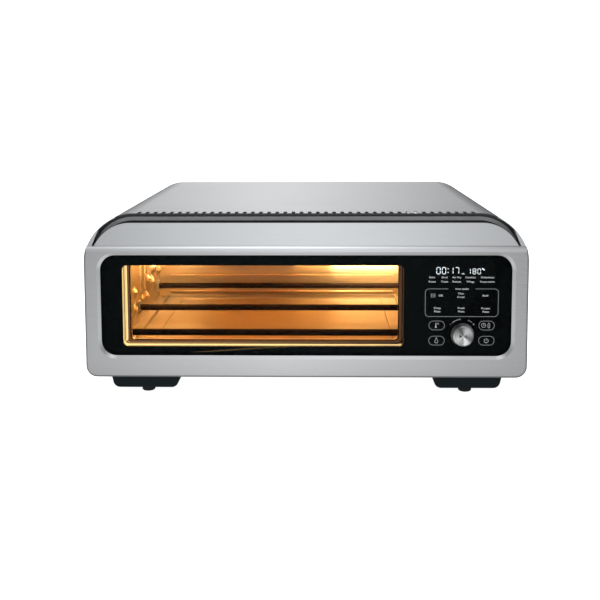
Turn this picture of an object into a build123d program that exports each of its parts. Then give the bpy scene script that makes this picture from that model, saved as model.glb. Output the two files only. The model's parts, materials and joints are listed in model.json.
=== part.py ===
"""Countertop pizza oven with a full-width drop-down door that carries the glass and the controls.

The origin is at the centre of the overall box, on the counter. +X is to the user's right,
+Y is towards the back and +Z is up. Millimetres.
"""
from build123d import *

import math
import os

# ---------------------------------------------------------------- driving dimensions
BODY_WIDTH = 490.0
BODY_DEPTH = 430.0  # door's front face to the back of the shell
BODY_HEIGHT = 180.5  # lower edge of the body to the top of the shell
FOOT_HEIGHT = 28.0
KNOB_PROUD = 9.0
SHEET = 1.0

ARCH_RADIUS = 50.0  # top corners of the shell
LOWER_RADIUS = 12.5  # lower corners of the door
CREASE = 147.3  # height of the line between the door frame and the leaning handle panel
DOOR_DEPTH = 27.0
SHELL_FRONT = 30.0

HINGE_DEPTH = 14.0
HINGE_HEIGHT = 8.0
HINGE_REACH = 205.0  # from the middle of the oven to each hinge arm
PIN_RADIUS = 2.5
RUNNING_GAP = 0.05

WINDOW_X = (-203.6, 108.9)
WINDOW_H = (33.8, 125.2)
GLASS_X = (-227.0, 227.0)
GLASS_H = (24.6, 137.4)
GLASS_RADIUS = 16.5

CAVITY_X = (-221.0, 140.0)
CAVITY_Y = (32.0, 345.0)
CAVITY_H = (18.0, 131.0)

KNOB_X = 172.9
KNOB_H = 49.5
FAN_Y = 121.0
FAN_H = 76.0
LAMP_Y = 262.0
LAMP_H = 92.0
PROBE_Y = 222.0
PROBE_H = 112.0
SWITCH_X = 226.0
SWITCH_H = 112.0
GROMMET_X = 205.0
GROMMET_H = 34.0
LOWER_ROD_DEPTHS = (55.0, 185.0, 328.0)
LOWER_ROD_HEIGHT = 37.5
LOWER_ROD_RADIUS = 3.9
TUBE_DEPTHS = (72.0, 190.0, 308.0)
TUBE_HEIGHT = 121.0
HOUSING_X = (124.0, 222.0)
HOUSING_H = (28.0, 134.0)
TOUCH_CENTRES = ((144.9, 59.0), (144.9, 41.9), (199.8, 59.0), (199.8, 41.9))
FOOT_CENTRES_X = (-183.5, 183.5)
FOOT_DEPTHS = (56.0, 392.0)
PAD_DEPTHS = (45.5, 402.5)

HALF_WIDTH = BODY_WIDTH / 2
FRONT = KNOB_PROUD - (BODY_DEPTH + KNOB_PROUD) / 2  # the door's front face in the part's frame

os.makedirs("parts", exist_ok=True)


# ---------------------------------------------------------------- shared geometry
def facing(depth):
    """Plane at a depth behind the door's face, its normal towards the user, local axes X and height."""
    return Plane(origin=(0, FRONT + depth, FOOT_HEIGHT), x_dir=(1, 0, 0), z_dir=(0, -1, 0))


def level(height):
    """Horizontal plane at a height above the body's lower edge, local axes X and depth."""
    return Plane(origin=(0, FRONT, FOOT_HEIGHT + height))


def across(x):
    """Upright plane at x, its normal to the right, local axes depth and height."""
    return Plane(origin=(x, FRONT, FOOT_HEIGHT), x_dir=(0, 1, 0), z_dir=(1, 0, 0))


def block(xs, depths, heights, mode=Mode.ADD):
    """A box between limits in x, depth and height."""
    middle = (sum(xs) / 2, FRONT + sum(depths) / 2, FOOT_HEIGHT + sum(heights) / 2)
    with Locations(middle):
        Box(xs[1] - xs[0], depths[1] - depths[0], heights[1] - heights[0], mode=mode)


def rounded(depth, xs, heights, radius):
    """A rounded rectangle on the plane at a depth."""
    with BuildSketch(facing(depth), mode=Mode.PRIVATE) as outline:
        with Locations((sum(xs) / 2, sum(heights) / 2)):
            RectangleRounded(xs[1] - xs[0], heights[1] - heights[0], radius)
    return outline.sketch


def arch(depth, inset, low, side_inset=None):
    """The shell's arched outline, inset from its outer skin, from a height upwards."""
    half = HALF_WIDTH - (inset if side_inset is None else side_inset)
    radius, top = ARCH_RADIUS - inset, BODY_HEIGHT - inset
    spring = top - radius
    start = math.degrees(math.asin(max(low - spring, 0) / radius))
    foot = half - radius + radius * math.cos(math.radians(start))
    with BuildSketch(facing(depth), mode=Mode.PRIVATE) as outline:
        with BuildLine():
            if low < spring:
                Line((-half, low), (-half, spring))
                Line((half, spring), (half, low))
            CenterArc((radius - half, spring), radius, 180 - start, start - 90)
            Line((radius - half, top), (half - radius, top))
            CenterArc((half - radius, spring), radius, 90, start - 90)
            Line((foot, low), (-foot, low))
        make_face()
    return outline.sketch


def door_outline(depth, inset):
    """The door frame's outline: the shell's outline cut off at the crease, with rounded lower corners."""
    half, radius, low, high = HALF_WIDTH - inset, ARCH_RADIUS - inset, inset, CREASE - inset
    spring = BODY_HEIGHT - ARCH_RADIUS
    turn = math.degrees(math.asin((high - spring) / radius))
    shoulder = half - radius + radius * math.cos(math.radians(turn))
    with BuildSketch(facing(depth), mode=Mode.PRIVATE) as outline:
        with BuildLine():
            Line((half, low), (half, spring))
            CenterArc((half - radius, spring), radius, 0, turn)
            Line((shoulder, high), (-shoulder, high))
            CenterArc((radius - half, spring), radius, 180 - turn, turn)
            Line((-half, spring), (-half, low))
            Line((-half, low), (half, low))
        make_face()
        fillet(outline.vertices().group_by(Axis.Y)[0], LOWER_RADIUS - inset)
    return outline.sketch


def rod(xs, depth, height, radius, mode=Mode.ADD):
    """A round bar along X."""
    with BuildSketch(across(xs[0]), mode=Mode.PRIVATE) as section:
        with Locations((depth, height)):
            Circle(radius)
    extrude(section.sketch, amount=xs[1] - xs[0], mode=mode)


def stud(depths, x, height, radius, mode=Mode.ADD):
    """A round bar along the depth."""
    with BuildSketch(facing(depths[1]), mode=Mode.PRIVATE) as section:
        with Locations((x, height)):
            Circle(radius)
    extrude(section.sketch, amount=depths[1] - depths[0], mode=mode)


def pillar(heights, x, depth, radius, mode=Mode.ADD):
    """A round bar along the height."""
    with BuildSketch(level(heights[0]), mode=Mode.PRIVATE) as section:
        with Locations((x, depth)):
            Circle(radius)
    extrude(section.sketch, amount=heights[1] - heights[0], mode=mode)


def save(builder, name):
    """Label a finished piece and write it under its node name."""
    builder.part.label = name
    export_step(builder.part, f"parts/{name}.step")


# ---------------------------------------------------------------- outer shell and its trim
SHELL_LENGTH = BODY_DEPTH - SHELL_FRONT
VENT_COUNT = 42
VENT_PITCH = 9.2
VENT_WIDTH = 4.2
VENT_LENGTH = 14.0
TRIM_WALL = (33.0, 35.0)
TRIM_LIP = (28.5, 30.0)

with BuildPart() as outer_shell:
    extrude(arch(BODY_DEPTH, 0, 0), amount=SHELL_LENGTH)
    extrude(arch(BODY_DEPTH, SHEET, 0), amount=SHELL_LENGTH, mode=Mode.SUBTRACT)
    with BuildSketch(level(BODY_HEIGHT - 5)):
        with Locations((0, SHELL_FRONT + VENT_LENGTH / 2)):
            with GridLocations(VENT_PITCH, 1, VENT_COUNT, 1):
                SlotOverall(VENT_LENGTH, VENT_WIDTH, rotation=90)
        with Locations((0, SHELL_FRONT + VENT_WIDTH / 4)):
            with GridLocations(VENT_PITCH, 1, VENT_COUNT, 1):
                Rectangle(VENT_WIDTH, VENT_WIDTH / 2)
    extrude(amount=10, mode=Mode.SUBTRACT)
save(outer_shell, "outer_shell")

with BuildPart() as recess_trim:
    extrude(arch(TRIM_LIP[1], 0, CREASE + 1), amount=TRIM_LIP[1] - TRIM_LIP[0])
    extrude(arch(TRIM_WALL[0], SHEET + 0.05, CREASE + 1), amount=TRIM_WALL[0] - TRIM_LIP[1])
    extrude(
        arch(TRIM_WALL[0], 2.4, CREASE + 1),
        amount=TRIM_WALL[0] - TRIM_LIP[0],
        mode=Mode.SUBTRACT,
    )
    extrude(arch(TRIM_WALL[1], SHEET + 0.05, CREASE + 1), amount=TRIM_WALL[1] - TRIM_WALL[0])
    block((-238, 238), (30.5, TRIM_WALL[1]), (CREASE - 0.2, CREASE + 1.5))
save(recess_trim, "recess_trim")

# ---------------------------------------------------------------- chassis
BULKHEAD = (31.0, 32.0)
MOUTH_X = (-219.0, 138.0)
MOUTH_H = (23.0, 129.0)
ARM_HALF = 2.0
ARM_RADIUS = 5.0
FOOT_SCREW_RADIUS = 2.0

with BuildPart() as front_bulkhead:
    extrude(door_outline(BULKHEAD[1], 2.5), amount=SHEET)
    extrude(rounded(BULKHEAD[1], MOUTH_X, MOUTH_H, 6), amount=SHEET, mode=Mode.SUBTRACT)
    for side in (-1, 1):
        reach = side * HINGE_REACH
        block((reach - 3, reach + 3), BULKHEAD, (0, 14.5), mode=Mode.SUBTRACT)
    block((229, 237), BULKHEAD, (0, 12.5), mode=Mode.SUBTRACT)
    stud(BULKHEAD, SWITCH_X, SWITCH_H, 2.6, mode=Mode.SUBTRACT)
    with BuildSketch(facing(BULKHEAD[1])):
        with Locations((190, 80)):
            with GridLocations(9, 9, 8, 6):
                Circle(2.2)
    extrude(amount=SHEET, mode=Mode.SUBTRACT)
save(front_bulkhead, "front_bulkhead")

REAR_PANEL = (427.0, 428.2)
with BuildPart() as base_pan:
    block((-HALF_WIDTH + 1.1, HALF_WIDTH - 1.1), (34, REAR_PANEL[0]), (0, 1.2))
    with Locations(*[(x, FRONT + y, FOOT_HEIGHT) for x in FOOT_CENTRES_X for y in FOOT_DEPTHS]):
        Cylinder(FOOT_SCREW_RADIUS + 0.1, 6, mode=Mode.SUBTRACT)
    with BuildSketch(level(0)):
        with Locations((194, 200)):
            with GridLocations(14, 9, 5, 14):
                SlotOverall(11, 4)
    extrude(amount=2, mode=Mode.SUBTRACT)
save(base_pan, "base_pan")

REAR_SCREWS = ((-230, 14), (0, 14), (230, 14), (-232, 100), (232, 100), (-150, 171), (150, 171))
with BuildPart() as rear_panel:
    extrude(arch(REAR_PANEL[1], SHEET + 0.1, 1.3), amount=REAR_PANEL[1] - REAR_PANEL[0])
    with BuildSketch(facing(REAR_PANEL[1])):
        with Locations((-110, 120), (-110, 60)):
            with GridLocations(1, 9, 1, 5):
                SlotOverall(120, 4)
        with Locations((110, 95)):
            with GridLocations(1, 9, 1, 11):
                SlotOverall(120, 4)
        with Locations((GROMMET_X, GROMMET_H)):
            Circle(9)
        with Locations(*REAR_SCREWS):
            Circle(1.7)
    extrude(amount=REAR_PANEL[1] - REAR_PANEL[0], mode=Mode.SUBTRACT)
save(rear_panel, "rear_panel")

with BuildPart() as panel_screws:
    for x, height in REAR_SCREWS:
        stud((REAR_PANEL[0] - 7, REAR_PANEL[1]), x, height, 1.6)
        stud((REAR_PANEL[1], BODY_DEPTH - 0.2), x, height, 3.2)
    for x in FOOT_CENTRES_X:
        for y in FOOT_DEPTHS:
            pillar((1.2, 3.8), x, y, 4)
save(panel_screws, "panel_screws")

with BuildPart() as cord_grommet:
    stud((REAR_PANEL[0] - 3, BODY_DEPTH), GROMMET_X, GROMMET_H, 11.5)
    stud((REAR_PANEL[0] - 3, BODY_DEPTH), GROMMET_X, GROMMET_H, 4.2, mode=Mode.SUBTRACT)
    with BuildSketch(facing(REAR_PANEL[1])):
        with Locations((GROMMET_X, GROMMET_H)):
            Circle(13)
            Circle(8.95, mode=Mode.SUBTRACT)
    extrude(amount=REAR_PANEL[1] - REAR_PANEL[0], mode=Mode.SUBTRACT)
save(cord_grommet, "cord_grommet")

# ---------------------------------------------------------------- feet
FOOT_SOLE = -20.0
PAD_RADIUS = 7.5
PAD_BEVEL = 1.0

with BuildPart() as feet:
    for x in FOOT_CENTRES_X:
        for y in FOOT_DEPTHS:
            with BuildSketch(facing(y + 30)) as foot_side:
                with BuildLine():
                    Polyline(
                        (x - 40.5, 0), (x + 40.5, 0), (x + 36, FOOT_SOLE), (x - 36, FOOT_SOLE), close=True
                    )
                make_face()
                fillet(foot_side.vertices().group_by(Axis.Y)[0], 8)
            extrude(amount=60)
    fillet(feet.edges().group_by(Axis.Z)[0], 2)
save(feet, "feet")

with BuildPart() as foot_pads:
    for x in FOOT_CENTRES_X:
        for y in PAD_DEPTHS:
            pillar((PAD_BEVEL - FOOT_HEIGHT, FOOT_SOLE), x, y, PAD_RADIUS)
            with Locations((x, FRONT + y, PAD_BEVEL / 2)):
                Cone(PAD_RADIUS - PAD_BEVEL, PAD_RADIUS, PAD_BEVEL)
save(foot_pads, "foot_pads")

# ---------------------------------------------------------------- cavity
WALL = SHEET
CAVITY_OUT_X = (CAVITY_X[0] - WALL, CAVITY_X[1] + WALL)
CAVITY_OUT_Y = (CAVITY_Y[0], CAVITY_Y[1] + WALL)

with BuildPart() as cavity_floor:
    block(CAVITY_OUT_X, CAVITY_OUT_Y, (CAVITY_H[0] - WALL, CAVITY_H[0]))
save(cavity_floor, "cavity_floor")

with BuildPart() as cavity_ceiling:
    block(CAVITY_OUT_X, CAVITY_OUT_Y, (CAVITY_H[1], CAVITY_H[1] + WALL))
save(cavity_ceiling, "cavity_ceiling")

WALL_RIB_DEPTHS = (104.0, 197.0, 228.0)  # upright pressed ribs
WALL_RIB_MIDDLE = 76.0
with BuildPart() as cavity_left_wall:
    block((CAVITY_OUT_X[0], CAVITY_X[0]), CAVITY_Y, CAVITY_H)
    for y in WALL_RIB_DEPTHS:
        with BuildSketch(across(CAVITY_X[0])):
            with Locations((y, WALL_RIB_MIDDLE)):
                SlotOverall(52, 6, rotation=90)
        extrude(amount=2, taper=30)
save(cavity_left_wall, "cavity_left_wall")

FAN_OPENING = 41.0
with BuildPart() as cavity_right_wall:
    block((CAVITY_X[1], CAVITY_OUT_X[1]), CAVITY_Y, CAVITY_H)
    rod((CAVITY_X[1] - 1, CAVITY_OUT_X[1] + 1), FAN_Y, FAN_H, FAN_OPENING, mode=Mode.SUBTRACT)
    rod((CAVITY_X[1] - 1, CAVITY_OUT_X[1] + 1), LAMP_Y, LAMP_H, 14, mode=Mode.SUBTRACT)
    rod((CAVITY_X[1] - 1, CAVITY_OUT_X[1] + 1), PROBE_Y, PROBE_H, 2.1, mode=Mode.SUBTRACT)
    rod_hole = LOWER_ROD_RADIUS + 0.2
    for y in LOWER_ROD_DEPTHS:
        rod((CAVITY_X[1] - 1, CAVITY_OUT_X[1] + 1), y, LOWER_ROD_HEIGHT, rod_hole, mode=Mode.SUBTRACT)
save(cavity_right_wall, "cavity_right_wall")

BACK_RIB_HEIGHTS = (24.5, 49.0, 73.5, 98.0)
with BuildPart() as cavity_back_wall:
    block(CAVITY_X, (CAVITY_Y[1], CAVITY_OUT_Y[1]), CAVITY_H)
    for height in BACK_RIB_HEIGHTS:
        with BuildSketch(facing(CAVITY_Y[1])):
            with Locations((sum(CAVITY_X) / 2, height)):
                SlotOverall(330, 4)
        extrude(amount=1.4, taper=30)
save(cavity_back_wall, "cavity_back_wall")

TRAY_X = (-206.0, 126.0)
TRAY_Y = (38.0, 331.0)
with BuildPart() as crumb_tray:
    block(TRAY_X, TRAY_Y, (18, 24))
    block((TRAY_X[0] + 1, TRAY_X[1] - 1), (TRAY_Y[0] + 1, TRAY_Y[1] - 1), (19, 24.1), mode=Mode.SUBTRACT)
    with BuildSketch(level(19)):
        with Locations((-39.5, 186)):
            RectangleRounded(293, 278, 10)
            RectangleRounded(287, 272, 7, mode=Mode.SUBTRACT)
    extrude(amount=1.2, taper=20)
save(crumb_tray, "crumb_tray")

with BuildPart() as lower_elements:
    for y in LOWER_ROD_DEPTHS:
        rod((CAVITY_X[0] + 0.5, 168), y, LOWER_ROD_HEIGHT, LOWER_ROD_RADIUS)
        rod((168, 174), y, LOWER_ROD_HEIGHT, 1.5)
save(lower_elements, "lower_elements")

CLIP_X = (-219.8, -218.6)  # upright of each clip on the left wall
CLIP_FOOT = LOWER_ROD_HEIGHT - 8
CLIP_TOP = LOWER_ROD_HEIGHT + 7
CLIP_BORE = LOWER_ROD_RADIUS + 0.02
with BuildPart() as element_clips:
    for y in LOWER_ROD_DEPTHS:
        block((CAVITY_X[0], CAVITY_X[0] + 1.2), (y - 6, y + 6), (CLIP_FOOT, CLIP_TOP + 1))
        block((CLIP_X[0], CLIP_X[1]), (y - 5, y + 5), (CLIP_FOOT + 2, CLIP_TOP))
        block((CAVITY_X[0], CLIP_X[1]), (y - 5, y + 5), (CLIP_TOP - 1, CLIP_TOP))
        rod((CLIP_X[0] - 1, CLIP_X[1] + 1), y, LOWER_ROD_HEIGHT, CLIP_BORE, mode=Mode.SUBTRACT)
        rod((CAVITY_OUT_X[1], CAVITY_OUT_X[1] + 7), y, LOWER_ROD_HEIGHT, LOWER_ROD_RADIUS + 3)
        rod((CAVITY_OUT_X[1], CAVITY_OUT_X[1] + 7), y, LOWER_ROD_HEIGHT, CLIP_BORE, mode=Mode.SUBTRACT)
save(element_clips, "element_clips")

TUBE_RADIUS = 5.0
with BuildPart() as quartz_tubes:
    for y in TUBE_DEPTHS:
        rod((-212, 131), y, TUBE_HEIGHT, TUBE_RADIUS)
        rod((-213, 132), y, TUBE_HEIGHT, TUBE_RADIUS - 1, mode=Mode.SUBTRACT)
save(quartz_tubes, "quartz_tubes")

with BuildPart() as heating_coils:
    for y in TUBE_DEPTHS:
        rod((-212, 131), y, TUBE_HEIGHT, 2.4)
save(heating_coils, "heating_coils")

with BuildPart() as tube_end_caps:
    for y in TUBE_DEPTHS:
        for ends in ((CAVITY_X[0], -208), (127, CAVITY_X[1])):
            block(ends, (y - 8, y + 8), (TUBE_HEIGHT - 8, TUBE_HEIGHT + 8))
        rod((-212, 131), y, TUBE_HEIGHT, TUBE_RADIUS + 0.02, mode=Mode.SUBTRACT)
save(tube_end_caps, "tube_end_caps")

with BuildPart() as upper_reflectors:
    for y in TUBE_DEPTHS:
        with BuildSketch(across(-205)):
            with BuildLine():
                Polyline(
                    (y - 22, 122), (y - 9, 129), (y + 9, 129), (y + 22, 122),
                    (y + 22, 123.2), (y + 9.5, 130.2), (y - 9.5, 130.2), (y - 22, 123.2),
                    close=True,
                )
            make_face()
        extrude(amount=329)
save(upper_reflectors, "upper_reflectors")

# ---------------------------------------------------------------- insulation
BLANKET_GAP = 0.4
with BuildPart() as insulation_blankets:
    block((-219, 138), (40, 344), (CAVITY_H[1] + WALL + BLANKET_GAP, CAVITY_H[1] + WALL + 18))
    block((-241, CAVITY_OUT_X[0] - BLANKET_GAP), (40, 344), (20, 128))
    block((-219, 138), (CAVITY_OUT_Y[1] + BLANKET_GAP, CAVITY_OUT_Y[1] + 20), (20, 128))
save(insulation_blankets, "insulation_blankets")

# ---------------------------------------------------------------- convection fan on the right wall
FAN_AXLE = 3.0
GRILLE_X = 138.8
BLADE_X = 147.0
BLADE_COUNT = 6
IMPELLER_X = 214.0
with BuildPart() as fan_grille:
    rod((GRILLE_X, CAVITY_X[1]), FAN_Y, FAN_H, FAN_OPENING + 3)
    with BuildSketch(across(GRILLE_X)):
        with Locations((FAN_Y, FAN_H)):
            for ring, holes in ((9, 6), (18, 12), (27, 18), (36, 24)):
                with PolarLocations(ring, holes):
                    Circle(2.8)
    extrude(amount=CAVITY_X[1] - GRILLE_X, mode=Mode.SUBTRACT)
save(fan_grille, "fan_grille")

FAN_CUP_X = (CAVITY_OUT_X[1], 162.0)
with BuildPart() as fan_housing:
    rod(FAN_CUP_X, FAN_Y, FAN_H, 46)
    rod((FAN_CUP_X[0], FAN_CUP_X[1] - 1), FAN_Y, FAN_H, 45, mode=Mode.SUBTRACT)
    rod((FAN_CUP_X[0], FAN_CUP_X[1] + 1), FAN_Y, FAN_H, FAN_AXLE + 1, mode=Mode.SUBTRACT)
save(fan_housing, "fan_housing")

with BuildPart() as motor_shaft:
    rod((146, 222), FAN_Y, FAN_H, FAN_AXLE)
save(motor_shaft, "motor_shaft")

with BuildPart() as fan_blade:
    rod((BLADE_X, BLADE_X + 8), FAN_Y, FAN_H, 9)
    with BuildSketch(across(BLADE_X)):
        with Locations((FAN_Y, FAN_H)):
            with PolarLocations(21, BLADE_COUNT):
                Rectangle(30, 12)
    extrude(amount=1.2)
    with BuildSketch(across(BLADE_X)):
        with Locations((FAN_Y, FAN_H)):
            with PolarLocations(21, BLADE_COUNT):
                with Locations((0, 5.4)):
                    Rectangle(30, 1.2)
    extrude(amount=9)
    rod((140, 230), FAN_Y, FAN_H, FAN_AXLE, mode=Mode.SUBTRACT)
save(fan_blade, "fan_blade")

with BuildPart() as fan_motor:
    rod((172, 206), FAN_Y, FAN_H, 24)
    block((178, 200), (FAN_Y - 32, FAN_Y + 32), (FAN_H - 30, FAN_H + 30))
    rod((166, 212), FAN_Y, FAN_H, 8)
    for dy in (-26, 26):
        rod((FAN_CUP_X[1], 178), FAN_Y + dy, FAN_H, 3)
    rod((160, 220), FAN_Y, FAN_H, FAN_AXLE + RUNNING_GAP, mode=Mode.SUBTRACT)
save(fan_motor, "fan_motor")

with BuildPart() as cooling_impeller:
    rod((IMPELLER_X, IMPELLER_X + 2), FAN_Y, FAN_H, 28)
    rod((IMPELLER_X, IMPELLER_X + 8), FAN_Y, FAN_H, 7)
    with BuildSketch(across(IMPELLER_X + 2)):
        with Locations((FAN_Y, FAN_H)):
            with PolarLocations(19, 12):
                Rectangle(16, 1.2)
    extrude(amount=12)
    rod((210, 230), FAN_Y, FAN_H, FAN_AXLE, mode=Mode.SUBTRACT)
save(cooling_impeller, "cooling_impeller")

# ---------------------------------------------------------------- lamp, probe, cutout
with BuildPart() as lamp_lens:
    rod((137.4, CAVITY_X[1]), LAMP_Y, LAMP_H, 17)
    chamfer(lamp_lens.edges().group_by(Axis.X)[0], 1.2)
save(lamp_lens, "lamp_lens")

with BuildPart() as lamp_socket:
    rod((CAVITY_OUT_X[1], 176), LAMP_Y, LAMP_H, 17)
    rod((CAVITY_OUT_X[1], 170), LAMP_Y, LAMP_H, 14.5, mode=Mode.SUBTRACT)
save(lamp_socket, "lamp_socket")

with BuildPart() as oven_lamp:
    with BuildSketch(Plane(origin=(0, FRONT + LAMP_Y, FOOT_HEIGHT + LAMP_H))):
        with BuildLine():
            Line((170, 0), (170, 6))
            Line((170, 6), (163, 6))
            Spline((163, 6), (155, 10), (148, 9), (143, 0))
            Line((143, 0), (170, 0))
        make_face()
    revolve(axis=Axis((0, FRONT + LAMP_Y, FOOT_HEIGHT + LAMP_H), (1, 0, 0)))
save(oven_lamp, "oven_lamp")

with BuildPart() as temperature_probe:
    rod((112, 152), PROBE_Y, PROBE_H, 2)
    rod((CAVITY_OUT_X[1], 144), PROBE_Y, PROBE_H, 5)
save(temperature_probe, "temperature_probe")

CUTOUT_Y = 205.0
CUTOUT_H = 84.0
CUTOUT_CAP_X = 147.0
with BuildPart() as thermal_cutout:
    rod((CAVITY_OUT_X[1], CUTOUT_CAP_X), CUTOUT_Y, CUTOUT_H, 8)
    block((CUTOUT_CAP_X, CUTOUT_CAP_X + 3), (CUTOUT_Y - 4, CUTOUT_Y + 4), (CUTOUT_H - 8, CUTOUT_H + 8))
save(thermal_cutout, "thermal_cutout")

# ---------------------------------------------------------------- electrical compartment
BOARD_HEIGHT = 16.0
CONNECTOR_DEPTH = 256.0
with BuildPart() as power_board:
    block((150, 238), (262, 395), (BOARD_HEIGHT, BOARD_HEIGHT + 1.6))
    block((228, 238), (CONNECTOR_DEPTH, 264), (4, BOARD_HEIGHT + 1.6))
    for x in (156, 232):
        for y in (270, 387):
            pillar((1.2, BOARD_HEIGHT), x, y, 3)
save(power_board, "power_board")

with BuildPart() as board_relays:
    for y in (285, 310, 335):
        block((158, 178), (y - 9, y + 9), (BOARD_HEIGHT + 1.6, BOARD_HEIGHT + 16))
    block((190, 228), (280, 320), (BOARD_HEIGHT + 1.6, BOARD_HEIGHT + 34))
    for y in (340, 358):
        pillar((BOARD_HEIGHT + 1.6, BOARD_HEIGHT + 28), 212, y, 7)
save(board_relays, "board_relays")

with BuildPart() as terminal_block:
    block((160, 190), (404, REAR_PANEL[0]), (40, 58))
    for x in (167, 175, 183):
        stud((400, 406), x, 49, 2.5)
save(terminal_block, "terminal_block")

LOOM_RADIUS = 2.5
LOOM_BEND = 6.0
LOOM_X = 233.0
LOOM_JOIN_X = 226.0  # the two halves of the loom meet here on the hinge axis
LOOM_DROP_X = 216.0


def loom(points):
    """A round cable along straight runs joined by arcs, its points given as x, depth and height."""
    with BuildPart(mode=Mode.PRIVATE) as cable:
        with BuildLine() as path:
            corners = [(x, FRONT + y, FOOT_HEIGHT + height) for x, y, height in points]
            FilletPolyline(*corners, radius=LOOM_BEND)
        with BuildSketch(Plane(path.line @ 0, z_dir=path.line % 0)):
            Circle(LOOM_RADIUS)
        sweep()
    return cable


body_loom = loom(
    (
        (LOOM_JOIN_X, HINGE_DEPTH, HINGE_HEIGHT),
        (LOOM_X, HINGE_DEPTH, HINGE_HEIGHT),
        (LOOM_X, CONNECTOR_DEPTH, HINGE_HEIGHT),
    )
)
save(body_loom, "body_loom")

door_loom = loom(
    (
        (LOOM_DROP_X, HINGE_DEPTH, HOUSING_H[0]),
        (LOOM_DROP_X, HINGE_DEPTH, HINGE_HEIGHT),
        (LOOM_JOIN_X, HINGE_DEPTH, HINGE_HEIGHT),
    )
)
save(door_loom, "door_loom")

# ---------------------------------------------------------------- hinges
with BuildPart() as hinge_arms:
    for side in (-1, 1):
        reach = side * HINGE_REACH
        rod((reach - ARM_HALF, reach + ARM_HALF), HINGE_DEPTH, HINGE_HEIGHT, ARM_RADIUS)
        block((reach - ARM_HALF, reach + ARM_HALF), (HINGE_DEPTH, 60), (3, 13))
        block((reach - 9, reach + 9), (40, 60), (1.2, 3.2))
        rod((reach - 5, reach + 5), HINGE_DEPTH, HINGE_HEIGHT, PIN_RADIUS + RUNNING_GAP, mode=Mode.SUBTRACT)
save(hinge_arms, "hinge_arms")

CHEEK_IN, CHEEK_OUT = 2.6, 5.6
with BuildPart() as hinge_clevises:
    for side in (-1, 1):
        reach = side * HINGE_REACH
        block((reach - CHEEK_OUT, reach + CHEEK_OUT), (8, 20), (1.5, 23))
        block((reach - CHEEK_IN, reach + CHEEK_IN), (7, 21), (1, 19), mode=Mode.SUBTRACT)
        rod((reach - 7, reach + 7), HINGE_DEPTH, HINGE_HEIGHT, PIN_RADIUS, mode=Mode.SUBTRACT)
save(hinge_clevises, "hinge_clevises")

with BuildPart() as hinge_pins:
    for side in (-1, 1):
        reach = side * HINGE_REACH
        rod((reach - CHEEK_OUT - 0.4, reach + CHEEK_OUT + 0.4), HINGE_DEPTH, HINGE_HEIGHT, PIN_RADIUS)
        for tip in (reach - CHEEK_OUT - 1.4, reach + CHEEK_OUT + 0.4):
            rod((tip, tip + 1), HINGE_DEPTH, HINGE_HEIGHT, PIN_RADIUS + 1)
save(hinge_pins, "hinge_pins")

# ---------------------------------------------------------------- door
FRAME_FACE = 2.0  # thickness of the frame's front face
FRAME_WALL = 1.5
FRAME_EDGE = 2.5  # rounding of the frame's outer edges
ROLL = 6.5  # radius of the roll under the crease
BEVEL_WIDTH = 3.6  # bevel round the glass opening
BEVEL_DEPTH = 1.8
EAR_WIDTH = 5.4  # ear at the crease
EAR_FLANGE = 0.8  # ear's thickness where it follows the arch
EAR_BLEND = 164.0  # height where the ear has thinned to the flange
EAR_TIP = 176.0
EAR_ROOT = CREASE - 3.0
EAR_RADIUS = ARCH_RADIUS - 0.1  # a hair inside the frame's own outline
BAND_FOOT = 5.5  # depth of the handle panel's front face at the crease
BAND_LEAN = 0.55  # depth gained for each unit of height
BAND_INSET = 9.5
BAND_SIDE_INSET = 7.2
BAND_SHEET = 2.4


def leaning(depth_at_crease):
    """Plane that leans back from the crease, its normal towards the user and up."""
    return Plane(
        origin=(0, FRONT + depth_at_crease, FOOT_HEIGHT + CREASE),
        x_dir=(1, 0, 0),
        z_dir=(0, -1, BAND_LEAN),
    )


def arch_x(height, radius):
    """Distance from the middle to a circle about the arch's centre, at a height."""
    return HALF_WIDTH - ARCH_RADIUS + math.sqrt(radius**2 - (height - BODY_HEIGHT + ARCH_RADIUS) ** 2)


with BuildPart() as ears:
    flange_radius = ARCH_RADIUS - EAR_FLANGE
    root_x = arch_x(EAR_ROOT, EAR_RADIUS)
    inner_x = arch_x(CREASE, ARCH_RADIUS) - EAR_WIDTH
    blend_x = arch_x(EAR_BLEND, flange_radius)
    tip_out_x, tip_in_x = arch_x(EAR_TIP, EAR_RADIUS), arch_x(EAR_TIP, flange_radius)
    with BuildSketch(facing(DOOR_DEPTH)):
        with BuildLine():
            RadiusArc((root_x, EAR_ROOT), (tip_out_x, EAR_TIP), -EAR_RADIUS)
            Line((tip_out_x, EAR_TIP), (tip_in_x, EAR_TIP))
            RadiusArc((tip_in_x, EAR_TIP), (blend_x, EAR_BLEND), flange_radius)
            Line((blend_x, EAR_BLEND), (inner_x, CREASE))
            Line((inner_x, CREASE), (inner_x, EAR_ROOT))
            Line((inner_x, EAR_ROOT), (root_x, EAR_ROOT))
        make_face()
    extrude(amount=DOOR_DEPTH)
    split(bisect_by=leaning(BAND_FOOT), keep=Keep.BOTTOM)
    mirror(about=Plane.YZ)

with BuildPart() as pocket:
    extrude(door_outline(DOOR_DEPTH, FRAME_WALL), amount=DOOR_DEPTH - FRAME_FACE)
    fillet(pocket.faces().sort_by(Axis.Y)[0].edges(), 3)

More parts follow.
